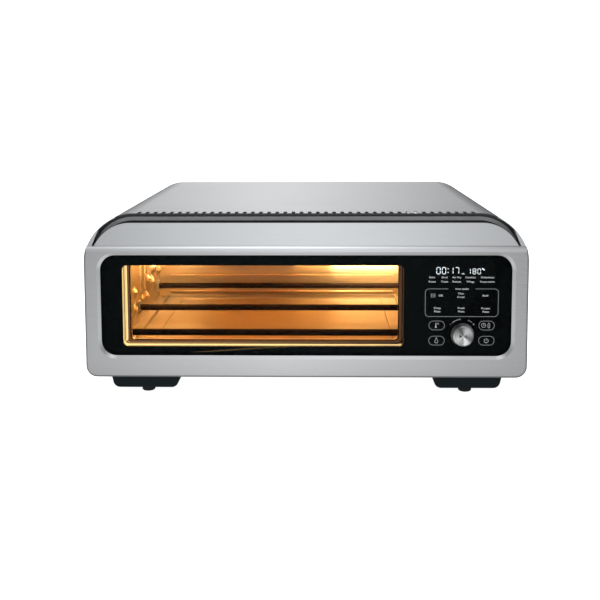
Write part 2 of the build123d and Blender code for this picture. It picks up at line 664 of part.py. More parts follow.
with BuildPart() as door_frame:
    extrude(door_outline(DOOR_DEPTH, 0), amount=DOOR_DEPTH)
    fillet(door_frame.faces().sort_by(Axis.Y)[0].edges().sort_by(Axis.Z)[:-1], FRAME_EDGE)
    with BuildSketch(across(-HALF_WIDTH)):
        with Locations((0, CREASE)):
            Rectangle(2 * ROLL, 2 * ROLL)
        with Locations((ROLL, CREASE - ROLL)):
            Circle(ROLL, mode=Mode.SUBTRACT)
    extrude(amount=BODY_WIDTH, mode=Mode.SUBTRACT)
    add(ears.part)
    add(pocket.part, mode=Mode.SUBTRACT)
    extrude(rounded(5, GLASS_X, GLASS_H, GLASS_RADIUS), amount=6, mode=Mode.SUBTRACT)
    with BuildSketch(facing(0)):
        with Locations((sum(GLASS_X) / 2, sum(GLASS_H) / 2)):
            RectangleRounded(
                GLASS_X[1] - GLASS_X[0] + 2 * BEVEL_WIDTH,
                GLASS_H[1] - GLASS_H[0] + 2 * BEVEL_WIDTH,
                GLASS_RADIUS + BEVEL_WIDTH,
            )
    with BuildSketch(facing(BEVEL_DEPTH)):
        with Locations((sum(GLASS_X) / 2, sum(GLASS_H) / 2)):
            RectangleRounded(GLASS_X[1] - GLASS_X[0], GLASS_H[1] - GLASS_H[0], GLASS_RADIUS)
    loft(mode=Mode.SUBTRACT)
    for side in (-1, 1):
        reach = side * HINGE_REACH
        block((reach - 4, reach + 4), (7.5, DOOR_DEPTH), (-1, 2), mode=Mode.SUBTRACT)
    block((223, 238), (9, DOOR_DEPTH), (-1, 2), mode=Mode.SUBTRACT)
save(door_frame, "door_frame")

with BuildPart() as handle_panel:
    extrude(arch(SHELL_FRONT, BAND_INSET, CREASE, BAND_SIDE_INSET), amount=SHELL_FRONT)
    split(bisect_by=leaning(BAND_FOOT), keep=Keep.BOTTOM)
    split(bisect_by=leaning(BAND_FOOT + BAND_SHEET), keep=Keep.TOP)
    block((-225, 225), (BAND_FOOT + 1.5, 24), (CREASE, CREASE + 1.4))
save(handle_panel, "handle_panel")

GLASS_DEPTH = (2.2, 6.2)
MASK_DEPTH = (6.2, 6.5)
GLASS_MARGIN = 4.0
OUTER_X = (GLASS_X[0] - GLASS_MARGIN, GLASS_X[1] + GLASS_MARGIN)
OUTER_H = (GLASS_H[0] - GLASS_MARGIN, GLASS_H[1] + GLASS_MARGIN)
DISPLAY_X = (132.0, 210.0)
DISPLAY_H = (105.0, 127.0)

with BuildPart() as door_glass:
    extrude(rounded(GLASS_DEPTH[1], OUTER_X, OUTER_H, GLASS_RADIUS + 3), amount=4)
    stud(GLASS_DEPTH, KNOB_X, KNOB_H, 5, mode=Mode.SUBTRACT)
save(door_glass, "door_glass")

with BuildPart() as glass_mask:
    extrude(rounded(MASK_DEPTH[1], OUTER_X, OUTER_H, GLASS_RADIUS + 3), amount=0.3)
    extrude(rounded(MASK_DEPTH[1], WINDOW_X, WINDOW_H, 5), amount=0.3, mode=Mode.SUBTRACT)
    extrude(rounded(MASK_DEPTH[1], DISPLAY_X, DISPLAY_H, 2), amount=0.3, mode=Mode.SUBTRACT)
    stud(MASK_DEPTH, KNOB_X, KNOB_H, 5, mode=Mode.SUBTRACT)
save(glass_mask, "glass_mask")

CHANNEL_X = (-212.0, 116.0)
CHANNEL_H = (27.0, 135.0)
CHANNEL_DEPTH = (6.5, 18.0)
LEDGE_DEPTH = 13.8  # where the channel steps in
LEDGE_X = (-202.8, 107.6)
LEDGE_H = (35.4, 127.0)
with BuildPart() as window_channel:
    extrude(rounded(CHANNEL_DEPTH[1], CHANNEL_X, CHANNEL_H, 6), amount=CHANNEL_DEPTH[1] - CHANNEL_DEPTH[0])
    extrude(
        rounded(LEDGE_DEPTH, WINDOW_X, (WINDOW_H[0], LEDGE_H[1]), 4),
        amount=LEDGE_DEPTH - CHANNEL_DEPTH[0],
        mode=Mode.SUBTRACT,
    )
    extrude(rounded(CHANNEL_DEPTH[1], LEDGE_X, LEDGE_H, 4), amount=6, mode=Mode.SUBTRACT)
save(window_channel, "window_channel")

INNER_GLASS_DEPTH = (18.0, 21.0)
with BuildPart() as inner_glass:
    extrude(rounded(INNER_GLASS_DEPTH[1], (-210, 114), (29, 133), 4), amount=3)
save(inner_glass, "inner_glass")

PLATE_DEPTH = 25.0
INNER_OPENING_X = (-197.6, 104.3)
INNER_OPENING_H = (37.7, 128.0)
with BuildPart() as door_inner_panel:
    extrude(door_outline(DOOR_DEPTH, 2.2), amount=DOOR_DEPTH - PLATE_DEPTH)
    extrude(rounded(PLATE_DEPTH, (-213, 117), (26, 136), 6), amount=PLATE_DEPTH - INNER_GLASS_DEPTH[1])
    extrude(rounded(DOOR_DEPTH, INNER_OPENING_X, INNER_OPENING_H, 5), amount=8, mode=Mode.SUBTRACT)
    for side in (-1, 1):
        reach = side * HINGE_REACH
        block((reach - 6.5, reach + 6.5), (20, 30), (0, 17), mode=Mode.SUBTRACT)
    block((223, 238), (20, 30), (0, 17), mode=Mode.SUBTRACT)
save(door_inner_panel, "door_inner_panel")

with BuildPart() as door_seal:
    extrude(rounded(29.8, (-229, 148), (15.5, 140), 10), amount=2.8)
    extrude(rounded(29.8, (-222.5, 141.5), (21.5, 134), 5), amount=2.8, mode=Mode.SUBTRACT)
save(door_seal, "door_seal")

# ---------------------------------------------------------------- controls in the door
HOUSING_DEPTH = (6.5, 23.5)
BOARD_DEPTH = (10.0, 11.6)

with BuildPart() as control_housing:
    block(HOUSING_X, HOUSING_DEPTH, HOUSING_H)
    block(
        (HOUSING_X[0] + 2, HOUSING_X[1] - 2),
        (HOUSING_DEPTH[0], HOUSING_DEPTH[1] - 2),
        (HOUSING_H[0] + 2, HOUSING_H[1] - 2),
        mode=Mode.SUBTRACT,
    )
save(control_housing, "control_housing")

with BuildPart() as control_board:
    block((127, 219), BOARD_DEPTH, (31, 131))
    stud(BOARD_DEPTH, KNOB_X, KNOB_H, 4.6, mode=Mode.SUBTRACT)
save(control_board, "control_board")

with BuildPart() as display_module:
    block(DISPLAY_X, (MASK_DEPTH[1], BOARD_DEPTH[0]), DISPLAY_H)
save(display_module, "display_module")

with BuildPart() as touch_pads:
    for x, height in TOUCH_CENTRES:
        stud((MASK_DEPTH[1], BOARD_DEPTH[0]), x, height, 4)
save(touch_pads, "touch_pads")

ENCODER_DEPTH = (BOARD_DEPTH[1], 21.0)
SHAFT_RADIUS = 3.0
SHAFT_END = 15.0
BORE_DEPTH = -4.5  # end of the shaft inside the knob
with BuildPart() as encoder_body:
    block((KNOB_X - 7, KNOB_X + 7), ENCODER_DEPTH, (KNOB_H - 7, KNOB_H + 7))
    stud((7.5, ENCODER_DEPTH[0]), KNOB_X, KNOB_H, 4.5)
    stud((13, 19.5), KNOB_X, KNOB_H, 5.6, mode=Mode.SUBTRACT)
    stud((7, 14), KNOB_X, KNOB_H, SHAFT_RADIUS + RUNNING_GAP, mode=Mode.SUBTRACT)
save(encoder_body, "encoder_body")

with BuildPart() as encoder_plunger:
    stud((SHAFT_END, 17), KNOB_X, KNOB_H, 5.5)
    stud((17, 18.2), KNOB_X, KNOB_H, 1.5)
save(encoder_plunger, "encoder_plunger")

with BuildPart() as encoder_shaft:
    stud((BORE_DEPTH, SHAFT_END), KNOB_X, KNOB_H, SHAFT_RADIUS)
    stud((13.2, 14.2), KNOB_X, KNOB_H, 4.5)
save(encoder_shaft, "encoder_shaft")

KNOB_RADIUS = 12.8
FACE_RADIUS = 9.3  # flat face of the knob
RIM_RADIUS = 11.7  # where the rounded rim meets the skirt
RIM_DEPTH = 2.6 - KNOB_PROUD
FACE_DEPTH = 0.4 - KNOB_PROUD
with BuildPart() as knob:
    knob_centre = Plane(origin=(KNOB_X, FRONT, FOOT_HEIGHT + KNOB_H))
    with BuildSketch(knob_centre):
        with BuildLine():
            Line((0, FACE_DEPTH), (FACE_RADIUS - 0.6, FACE_DEPTH))
            Line((FACE_RADIUS - 0.6, FACE_DEPTH), (FACE_RADIUS, -KNOB_PROUD))
            TangentArc((FACE_RADIUS, -KNOB_PROUD), (RIM_RADIUS, RIM_DEPTH), tangent=(1, 0))
            Line((RIM_RADIUS, RIM_DEPTH), (KNOB_RADIUS, -0.4))
            Line((KNOB_RADIUS, -0.4), (KNOB_RADIUS - 0.5, 0.6))
            Line((KNOB_RADIUS - 0.5, 0.6), (SHAFT_RADIUS, 0.6))
            Line((SHAFT_RADIUS, 0.6), (SHAFT_RADIUS, BORE_DEPTH))
            Line((SHAFT_RADIUS, BORE_DEPTH), (0, BORE_DEPTH))
            Line((0, BORE_DEPTH), (0, FACE_DEPTH))
        make_face()
    revolve(axis=Axis(knob_centre.origin, (0, 1, 0)))
save(knob, "knob")

# ---------------------------------------------------------------- door switch
with BuildPart() as door_switch:
    block((SWITCH_X - 8, SWITCH_X + 8), (BULKHEAD[1], 52), (SWITCH_H - 6, SWITCH_H + 6))
    stud((BULKHEAD[1] - 1, 45), SWITCH_X, SWITCH_H, 2.05, mode=Mode.SUBTRACT)
save(door_switch, "door_switch")

with BuildPart() as switch_plunger:
    stud((27.2, 42), SWITCH_X, SWITCH_H, 2.0)
save(switch_plunger, "switch_plunger")
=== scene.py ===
"""Looks of a countertop pizza oven with a drop-down glass door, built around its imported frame. Metres."""

import json
import math

import bmesh
import bpy
from mathutils import Matrix, Vector


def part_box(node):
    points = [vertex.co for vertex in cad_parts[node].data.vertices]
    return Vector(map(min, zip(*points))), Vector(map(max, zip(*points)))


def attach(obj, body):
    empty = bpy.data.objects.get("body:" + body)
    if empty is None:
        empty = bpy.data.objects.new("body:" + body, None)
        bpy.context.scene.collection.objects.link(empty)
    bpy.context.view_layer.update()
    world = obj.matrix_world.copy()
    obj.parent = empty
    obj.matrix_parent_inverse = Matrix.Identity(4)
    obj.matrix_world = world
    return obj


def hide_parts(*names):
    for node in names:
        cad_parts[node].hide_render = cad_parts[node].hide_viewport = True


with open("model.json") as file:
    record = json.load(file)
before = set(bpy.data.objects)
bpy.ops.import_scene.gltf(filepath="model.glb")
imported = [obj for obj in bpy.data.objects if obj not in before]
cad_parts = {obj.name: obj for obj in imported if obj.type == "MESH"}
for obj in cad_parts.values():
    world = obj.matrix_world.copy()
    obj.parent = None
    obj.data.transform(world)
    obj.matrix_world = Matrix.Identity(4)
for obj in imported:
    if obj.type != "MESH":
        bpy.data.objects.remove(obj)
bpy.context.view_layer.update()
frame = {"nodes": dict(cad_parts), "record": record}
nodes = frame["nodes"]

MM = 0.001
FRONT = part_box("door_frame")[0].y  # the door's front face
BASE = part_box("outer_shell")[0].z  # the body's lower edge


def at(x, depth, height):
    """A point from millimetres: x, depth behind the door's face, height above the body's lower edge."""
    return Vector((x * MM, FRONT + depth * MM, BASE + height * MM))


# ---------------------------------------------------------------- camera
camera_data = bpy.data.cameras.new("camera")
camera_data.lens = 55.55
camera_data.sensor_width = 36.0
camera_data.shift_y = -0.18
camera = bpy.data.objects.new("camera", camera_data)
camera.location = (0.0152, -1.2138, 0.3358)
TURN, DIP, ROLL = 1.185, 5.71, -0.18  # degrees: to the left, downwards, and about the line of sight
turned = Matrix.Rotation(math.radians(TURN), 3, "Z")
tilted = Matrix.Rotation(math.radians(90 - DIP), 3, "X")
rolled_over = Matrix.Rotation(math.radians(ROLL), 3, "Z")
camera.rotation_euler = (turned @ tilted @ rolled_over).to_euler()
bpy.context.scene.collection.objects.link(camera)
bpy.context.scene.camera = camera


# ---------------------------------------------------------------- node helpers
class Tree:
    """Adds and joins the nodes of one material or world."""

    def __init__(self, owner):
        owner.use_nodes = True
        self.tree = owner.node_tree
        self.tree.nodes.clear()

    def node(self, kind):
        return self.tree.nodes.new(kind)

    def join(self, output, socket):
        self.tree.links.new(output, socket)

    def feed(self, node, socket, value):
        target = node.inputs[socket]
        if isinstance(value, bpy.types.NodeSocket):
            self.join(value, target)
        else:
            target.default_value = value

    def maths(self, operation, a, b=0.0, clamp=False):
        node = self.node("ShaderNodeMath")
        node.operation = operation
        node.use_clamp = clamp
        self.feed(node, 0, a)
        self.feed(node, 1, b)
        return node.outputs[0]

    def place(self, scale=(1, 1, 1), rotation=(0, 0, 0)):
        """Coordinates of the piece in its body's own frame, scaled."""
        coordinates = self.node("ShaderNodeTexCoord")
        mapping = self.node("ShaderNodeMapping")
        mapping.inputs["Scale"].default_value = scale
        mapping.inputs["Rotation"].default_value = rotation
        self.join(coordinates.outputs["Object"], mapping.inputs["Vector"])
        return mapping.outputs["Vector"]

    def noise(self, vector, scale, detail=3.0, rough=0.55):
        node = self.node("ShaderNodeTexNoise")
        self.join(vector, node.inputs["Vector"])
        node.inputs["Scale"].default_value = scale
        node.inputs["Detail"].default_value = detail
        node.inputs["Roughness"].default_value = rough
        return node.outputs["Fac"]

    def span(self, value, low, high, from_low=0.0, from_high=1.0):
        """Maps a value running from from_low to from_high onto low to high, and stops at both ends."""
        node = self.node("ShaderNodeMapRange")
        self.feed(node, "Value", value)
        self.feed(node, "From Min", from_low)
        self.feed(node, "From Max", from_high)
        self.feed(node, "To Min", low)
        self.feed(node, "To Max", high)
        return node.outputs["Result"]

    def blend(self, factor, a, b):
        node = self.node("ShaderNodeMix")
        node.data_type = "RGBA"
        self.feed(node, 0, factor)
        self.feed(node, 6, a)
        self.feed(node, 7, b)
        return node.outputs[2]

    def bump(self, height, strength, distance):
        node = self.node("ShaderNodeBump")
        node.inputs["Strength"].default_value = strength
        node.inputs["Distance"].default_value = distance
        self.join(height, node.inputs["Height"])
        return node.outputs["Normal"]

    def principled(self, **inputs):
        node = self.node("ShaderNodeBsdfPrincipled")
        for name, value in inputs.items():
            self.feed(node, name.replace("_", " "), value)
        return node

    def finish(self, shader):
        output = self.node("ShaderNodeOutputMaterial")
        self.join(shader, output.inputs["Surface"])


def colour(red, green, blue):
    return (red, green, blue, 1.0)


def fresh(name):
    material = bpy.data.materials.new(name)
    return material, Tree(material)


# ---------------------------------------------------------------- materials
def brushed(name, base, grain_scale, tangent, rough=0.3, streak=0.05, anisotropic=0.7, smudge=0.03):
    """Brushed metal: fine grain lines, broad tone changes, and a highlight drawn out across the grain."""
    material, t = fresh(name)
    lines = t.noise(t.place(scale=grain_scale), 1.0, detail=4.0, rough=0.7)
    broad = t.noise(t.place(scale=(5.0, 5.0, 5.0)), 1.0, detail=2.0)
    tone = t.maths("ADD", t.span(lines, -streak, streak, 0.3, 0.7), t.span(broad, -smudge, smudge, 0.3, 0.7))
    shade = t.maths("ADD", 1.0, tone)
    mixed = t.blend(shade, colour(0, 0, 0), colour(*base))
    roughness = t.span(lines, rough - 0.05, rough + 0.06, 0.3, 0.7)
    shader = t.principled(
        Base_Color=mixed,
        Metallic=1.0,
        Roughness=roughness,
        Anisotropic=anisotropic,
        Normal=t.bump(lines, 0.12, 0.0002),
    )
    t.feed(shader, "Tangent", tangent_of(t, tangent))
    t.finish(shader.outputs[0])
    return material


def tangent_of(t, direction):
    """A constant direction, turned with the piece from its own frame to the world."""
    node = t.node("ShaderNodeVectorTransform")
    node.vector_type = "VECTOR"
    node.convert_from = "OBJECT"
    node.convert_to = "WORLD"
    node.inputs[0].default_value = direction
    return node.outputs[0]


def plain(name, base, rough, metallic=0.0, fleck=0.08, fleck_scale=900.0, relief=0.0001, specular=0.5):
    """Moulded or coated surface: slight tone changes and a fine grain in its relief."""
    material, t = fresh(name)
    grain = t.noise(t.place(), fleck_scale, detail=2.0)
    broad = t.noise(t.place(), 30.0, detail=3.0)
    dark = colour(*(c * (1 - fleck) for c in base))
    light = colour(*(min(1.0, c * (1 + fleck)) for c in base))
    mixed = t.blend(t.span(broad, 0.0, 1.0, 0.3, 0.7), dark, light)
    shader = t.principled(
        Base_Color=mixed,
        Metallic=metallic,
        Roughness=t.span(grain, rough - 0.05, rough + 0.05, 0.3, 0.7),
        Specular_IOR_Level=specular,
        Normal=t.bump(grain, 0.25, relief),
    )
    t.finish(shader.outputs[0])
    return material


def rolled(name, base, rough, tint=(1.0, 1.0, 1.0), spangle=0.0, relief=0.05):
    """Rolled or galvanised sheet: drawn-out rolling marks, heat tint in clouds, and optional zinc flowers."""
    material, t = fresh(name)
    rolling = t.noise(t.place(scale=(8.0, 260.0, 260.0)), 1.0, detail=3.0)
    cloud = t.noise(t.place(), 14.0, detail=4.0)
    value = t.span(cloud, 0.0, 1.0, 0.32, 0.68)
    tinted = colour(*(b * k for b, k in zip(base, tint)))
    mixed = t.blend(value, colour(*base), tinted)
    if spangle:
        cells = t.node("ShaderNodeTexVoronoi")
        t.join(t.place(), cells.inputs["Vector"])
        cells.inputs["Scale"].default_value = 160.0
        split = t.node("ShaderNodeSeparateColor")
        t.join(cells.outputs["Color"], split.inputs[0])
        dim = colour(*(b * (1 - spangle) for b in base))
        mixed = t.blend(t.maths("MULTIPLY", split.outputs[0], 0.6), mixed, dim)
    shader = t.principled(
        Base_Color=mixed,
        Metallic=1.0,
        Roughness=t.span(rolling, rough - 0.06, rough + 0.08, 0.3, 0.7),
        Normal=t.bump(rolling, relief, 0.0003),
    )
    t.finish(shader.outputs[0])
    return material


# metres: the run of the channel from left to right, and the heights where its lower lip ends; they bound the
# channel's painted shade and painted glow
CHANNEL_RUN, LIP_TOP = (-0.2, 0.1), (0.0628, 0.0636)


def painted_light_and_shade(name, bright, shaded_colour, rough):
    """Steel with painted shade darkening it towards its right end, its lower lip left bright, and a painted
    warm glow at its left end.
    """
    material, t = fresh(name)
    where = t.node("ShaderNodeSeparateXYZ")
    t.join(t.place(), where.inputs[0])
    along = t.span(where.outputs["X"], 0.0, 1.0, *CHANNEL_RUN)
    above_lip = t.span(where.outputs["Z"], 0.15, 1.0, *LIP_TOP)
    cloud = t.span(t.noise(t.place(), 30.0), -0.06, 0.06, 0.3, 0.7)
    # painted shade: darker towards the right end above the lower lip, with random clouds
    painted_shade = t.maths("ADD", t.maths("MULTIPLY", along, above_lip), cloud, clamp=True)
    shader = t.principled(
        Base_Color=t.blend(painted_shade, colour(*bright), colour(*shaded_colour)),
        Metallic=1.0,
        Roughness=rough,
        # painted light: a warm glow at the left end, though no lamp is there
        Emission_Color=colour(1.0, 0.7, 0.3),
        Emission_Strength=t.span(along, 0.5, 0.0),
    )
    t.finish(shader.outputs[0])
    return material


def clear(name, tint, body=0.05, rough=0.02, edge=0.6, specular=0.5, through_tint=(0.97, 0.98, 0.975)):
    """Thin clear glass: mostly see-through, with a gloss that grows towards the edges of sight."""
    material, t = fresh(name)
    smear = t.noise(t.place(), 18.0, detail=3.0)
    shader = t.principled(
        Base_Color=colour(*tint),
        Roughness=t.span(smear, rough, rough + 0.03, 0.3, 0.7),
        Specular_IOR_Level=specular,
    )
    through = t.node("ShaderNodeBsdfTransparent")
    through.inputs["Color"].default_value = colour(*through_tint)
    weight = t.node("ShaderNodeLayerWeight")
    weight.inputs["Blend"].default_value = 0.25
    facing = t.maths("POWER", weight.outputs["Facing"], 3.0)
    factor = t.maths("ADD", body, t.maths("MULTIPLY", facing, edge), clamp=True)
    mix = t.node("ShaderNodeMixShader")
    t.feed(mix, 0, factor)
    t.join(through.outputs[0], mix.inputs[1])
    t.join(shader.outputs[0], mix.inputs[2])
    t.finish(mix.outputs[0])
    return material


def glowing(name, base, light, strength, band_scale=400.0):
    """Hot wire or lit marks, with uneven light along them."""
    material, t = fresh(name)
    uneven = t.noise(t.place(), band_scale, detail=2.0)
    shader = t.principled(
        Base_Color=colour(*base),
        Roughness=0.6,
        Emission_Color=colour(*light),
        Emission_Strength=t.span(uneven, strength * 0.85, strength * 1.15, 0.3, 0.7),
    )
    t.finish(shader.outputs[0])
    return material


# direction in degrees, sharpness and gain of each wedge on a turned face: painted highlights where the gain
# is positive, painted shade where it is negative
PAINTED_SHEEN = ((-66, 20, 1.1), (50, 6, 0.3), (214, 7, 0.4), (-20, 12, -0.2), (115, 8, -0.32))


def spun(name, base, centre, rough=0.24):
    """Turned metal face: rings about the axle, a highlight drawn out across them, and painted highlight and
    painted shade wedges in its colour.
    """
    material, t = fresh(name)
    place = t.node("ShaderNodeTexCoord").outputs["Object"]
    offset = t.node("ShaderNodeVectorMath")
    offset.operation = "SUBTRACT"
    t.join(place, offset.inputs[0])
    offset.inputs[1].default_value = centre
    flat = t.node("ShaderNodeVectorMath")
    flat.operation = "MULTIPLY"
    t.join(offset.outputs[0], flat.inputs[0])
    flat.inputs[1].default_value = (1, 0, 1)
    length = t.node("ShaderNodeVectorMath")
    length.operation = "LENGTH"
    t.join(flat.outputs[0], length.inputs[0])
    rings = t.node("ShaderNodeTexNoise")
    rings.noise_dimensions = "1D"
    rings.inputs["Scale"].default_value = 1.0
    rings.inputs["Detail"].default_value = 3.0
    t.join(t.maths("MULTIPLY", length.outputs["Value"], 5200.0), rings.inputs["W"])
    split = t.node("ShaderNodeSeparateXYZ")
    t.join(flat.outputs[0], split.inputs[0])
    angle = t.maths("ARCTAN2", split.outputs["Z"], split.outputs["X"])
    shade = t.span(rings.outputs["Fac"], 0.38, 0.5, 0.3, 0.7)
    # painted highlights and painted shade: wedges added to the face's colour
    for middle, sharp, gain in PAINTED_SHEEN:
        lobe = t.maths("MAXIMUM", t.maths("COSINE", t.maths("SUBTRACT", angle, math.radians(middle))), 0.0)
        shade = t.maths("ADD", shade, t.maths("MULTIPLY", t.maths("POWER", lobe, sharp), gain))
    mixed = t.blend(shade, colour(0, 0, 0), colour(*base))
    direction = t.node("ShaderNodeVectorMath")
    direction.operation = "NORMALIZE"
    t.join(flat.outputs[0], direction.inputs[0])
    turned = t.node("ShaderNodeVectorTransform")
    turned.vector_type = "VECTOR"
    turned.convert_from = "OBJECT"
    turned.convert_to = "WORLD"
    t.join(direction.outputs[0], turned.inputs[0])
    shader = t.principled(
        Base_Color=mixed,
        Metallic=0.75,
        Roughness=rough,
        Anisotropic=0.85,
        Normal=t.bump(rings.outputs["Fac"], 0.1, 0.0001),
    )
    t.join(turned.outputs[0], shader.inputs["Tangent"])
    t.finish(shader.outputs[0])
    return material


def board(name, base):
    """Circuit board: solder mask with traces and pads."""
    material, t = fresh(name)
    traces = t.node("ShaderNodeTexBrick")
    t.join(t.place(scale=(120.0, 120.0, 120.0)), traces.inputs["Vector"])
    traces.inputs["Color1"].default_value = colour(*base)
    traces.inputs["Color2"].default_value = colour(*(c * 0.8 for c in base))
    traces.inputs["Mortar"].default_value = colour(*(min(1, c * 1.9) for c in base))
    traces.inputs["Mortar Size"].default_value = 0.05
    shader = t.principled(Base_Color=traces.outputs["Color"], Roughness=0.35)
    t.finish(shader.outputs[0])
    return material


STEEL = (0.43, 0.437, 0.445)
steel_front = brushed("steel_front", STEEL, (6.0, 400.0, 2600.0), (0, 0, 1))
steel_shell = brushed("steel_shell", STEEL, (6.0, 2400.0, 6.0), (0, 1, 0))
cavity_steel = rolled("cavity_steel", (0.66, 0.56, 0.42), 0.36, tint=(0.97, 0.93, 0.86), relief=0.012)
sheet_steel = rolled("sheet_steel", (0.5, 0.51, 0.52), 0.42, spangle=0.25)
bright_steel = plain("bright_steel", (0.7, 0.7, 0.71), 0.18, metallic=1.0, fleck_scale=1500.0)
trim_plastic = plain("trim_plastic", (0.03, 0.033, 0.035), 0.4, specular=0.3)
bead_metal = plain("bead_metal", (0.36, 0.37, 0.38), 0.4, metallic=0.2)
foot_plastic = plain("foot_plastic", (0.016, 0.025, 0.0275), 0.5, specular=0.1)
pad_rubber = plain("pad_rubber", (0.02, 0.02, 0.02), 0.75, relief=0.0003)
seal_rubber = plain("seal_rubber", (0.05, 0.05, 0.052), 0.6, relief=0.0002)
door_glass = clear("door_glass", (0.0, 0.0, 0.0), body=0.03, edge=0.5, through_tint=(0.95, 0.925, 0.89))
inner_glass = clear("inner_glass", (0.0, 0.0, 0.0), body=0.02, edge=0.5, through_tint=(0.95, 0.925, 0.89))
quartz = clear("quartz_glass", (0.8, 0.78, 0.74), body=0.22, rough=0.25, edge=0.6)
lens_glass = clear("lens_glass", (0.8, 0.78, 0.74), body=0.18, rough=0.12, edge=0.6)
black_print = plain("black_print", (0.003, 0.0052, 0.0068), 0.4, specular=0.02, relief=0.00002)
display_black = plain("display_black", (0.003, 0.0052, 0.0068), 0.3, specular=0.02, relief=0.00002)
brown_print = plain("brown_print", (0.2, 0.095, 0.042), 0.35, specular=0.3, relief=0.00002)
tray_steel = rolled("tray_steel", (0.4, 0.36, 0.3), 0.55, relief=0.01)
heater_sheath = plain("heater_sheath", (0.012, 0.007, 0.005), 0.6, fleck=0.3, specular=0.06)
# the channel's colours: a painted warm lit colour, painted shade towards the right, and a painted glow at the
# left
channel_steel = painted_light_and_shade("channel_steel", (1.0, 0.86, 0.56), (0.13, 0.07, 0.035), 0.16)
coil_wire = glowing("coil_wire", (0.5, 0.2, 0.08), (1.0, 0.36, 0.07), 40.0)
ceramic = plain("white_ceramic", (0.82, 0.8, 0.75), 0.6, fleck=0.05, relief=0.0004)
wool = plain("mineral_wool", (0.72, 0.68, 0.52), 0.9, fleck=0.2, fleck_scale=300.0, relief=0.003)
motor_steel = rolled("motor_steel", (0.25, 0.25, 0.26), 0.4, spangle=0.2)
housing_plastic = plain("housing_plastic", (0.06, 0.06, 0.065), 0.5)
circuit_board = board("circuit_board", (0.02, 0.16, 0.06))
board_parts = plain("board_parts", (0.06, 0.1, 0.22), 0.45)
pad_foam = plain("pad_foam", (0.07, 0.07, 0.07), 0.9, relief=0.0006)
cable_jacket = plain("cable_jacket", (0.03, 0.03, 0.03), 0.55)
knob_low, knob_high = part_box("knob")
knob_axis = (knob_low + knob_high) / 2
KNOB_X, KNOB_H = knob_axis.x / MM, (knob_axis.z - BASE) / MM
KNOB_FACE = (knob_low.y - FRONT) / MM + 0.4  # depth of the knob's flat face
knob_metal = spun("knob_metal", (0.72, 0.725, 0.73), knob_axis, rough=0.3)
white_print = glowing("white_print", (0.6, 0.62, 0.64), (0.85, 0.93, 1.0), 0.26)
icon_print = glowing("icon_print", (0.5, 0.52, 0.54), (0.8, 0.9, 1.0), 0.1)
grey_print = glowing("grey_print", (0.26, 0.28, 0.29), (0.8, 0.9, 1.0), 0.03)
display_white = glowing("display_white", (0.8, 0.85, 0.9), (0.85, 0.94, 1.0), 1.1)
mark_black = plain("mark_black", (0.02, 0.02, 0.02), 0.5)

SLOT_FINISHES = {
    "brushed_steel": steel_front,
    "cavity_steel": cavity_steel,
    "sheet_steel": sheet_steel,
    "bright_steel": bright_steel,
    "knob_metal": knob_metal,
    "trim_plastic": trim_plastic,
    "pad_rubber": pad_rubber,
    "seal_rubber": seal_rubber,
    "clear_glass": door_glass,
    "quartz_glass": quartz,
    "black_print": black_print,
    "display_black": display_black,
    "heater_sheath": heater_sheath,
    "coil_wire": coil_wire,
    "white_ceramic": ceramic,
    "mineral_wool": wool,
    "motor_steel": motor_steel,
    "housing_plastic": housing_plastic,
    "circuit_board": circuit_board,
    "board_parts": board_parts,
    "pad_foam": pad_foam,
    "cable_jacket": cable_jacket,
}
NODE_FINISHES = {
    "outer_shell": steel_shell,
    "feet": foot_plastic,
    "inner_glass": inner_glass,
    "crumb_tray": tray_steel,
    "cavity_floor": tray_steel,
    "lamp_lens": lens_glass,
    "oven_lamp": lens_glass,
    "window_channel": channel_steel,
}


def dress(piece, material):
    piece.data.materials.clear()
    piece.data.materials.append(material)


for part in frame["record"]["subparts"]:
    node = part["node"]
    dress(nodes[node], NODE_FINISHES.get(node, SLOT_FINISHES[part["material_slot"]]))


# ---------------------------------------------------------------- mesh helpers
def piece_from(builder, name, material, body, smooth=False):
    """Turns a bmesh into a named piece that rides on a body."""
    bmesh.ops.recalc_face_normals(builder, faces=builder.faces)
    mesh = bpy.data.meshes.new(name)
    builder.to_mesh(mesh)
    builder.free()
    piece = bpy.data.objects.new(name, mesh)
    bpy.context.scene.collection.objects.link(piece)
    mesh.materials.append(material)
    if smooth:
        for polygon in mesh.polygons:
            polygon.use_smooth = True
    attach(piece, body)
    return piece


def slab(builder, outline, near, far):
    """A flat shape, given as (x, height) in millimetres, made solid between two depths."""
    front = [builder.verts.new(at(x, near, h)) for x, h in outline]
    back = [builder.verts.new(at(x, far, h)) for x, h in outline]
    builder.faces.new(front)
    builder.faces.new(list(reversed(back)))
    count = len(outline)
    for i in range(count):
        builder.faces.new((front[i], front[(i + 1) % count], back[(i + 1) % count], back[i]))


def ribbon(builder, line, width, near, far, closed=False):
    """A drawn line of a given width, as short mitred slabs joined into one solid strip."""
    count = len(line)
    left, right = [], []
    for i, (x, h) in enumerate(line):
        before = line[i - 1] if i or closed else line[i]
        after = line[(i + 1) % count] if i < count - 1 or closed else line[i]
        way = Vector((after[0] - before[0], after[1] - before[1]))
        way.normalize()
        side = Vector((-way.y, way.x)) * width / 2
        left.append((x + side.x, h + side.y))
        right.append((x - side.x, h - side.y))
    rows = [
        [builder.verts.new(at(x, depth, h)) for x, h in points]
        for points, depth in ((left, near), (right, near), (right, far), (left, far))
    ]
    steps = count if closed else count - 1
    for i in range(steps):
        j = (i + 1) % count
        for a in range(4):
            b = (a + 1) % 4
            builder.faces.new((rows[a][i], rows[a][j], rows[b][j], rows[b][i]))
    if not closed:
        for i in (0, count - 1):
            builder.faces.new([rows[a][i] for a in range(4)])


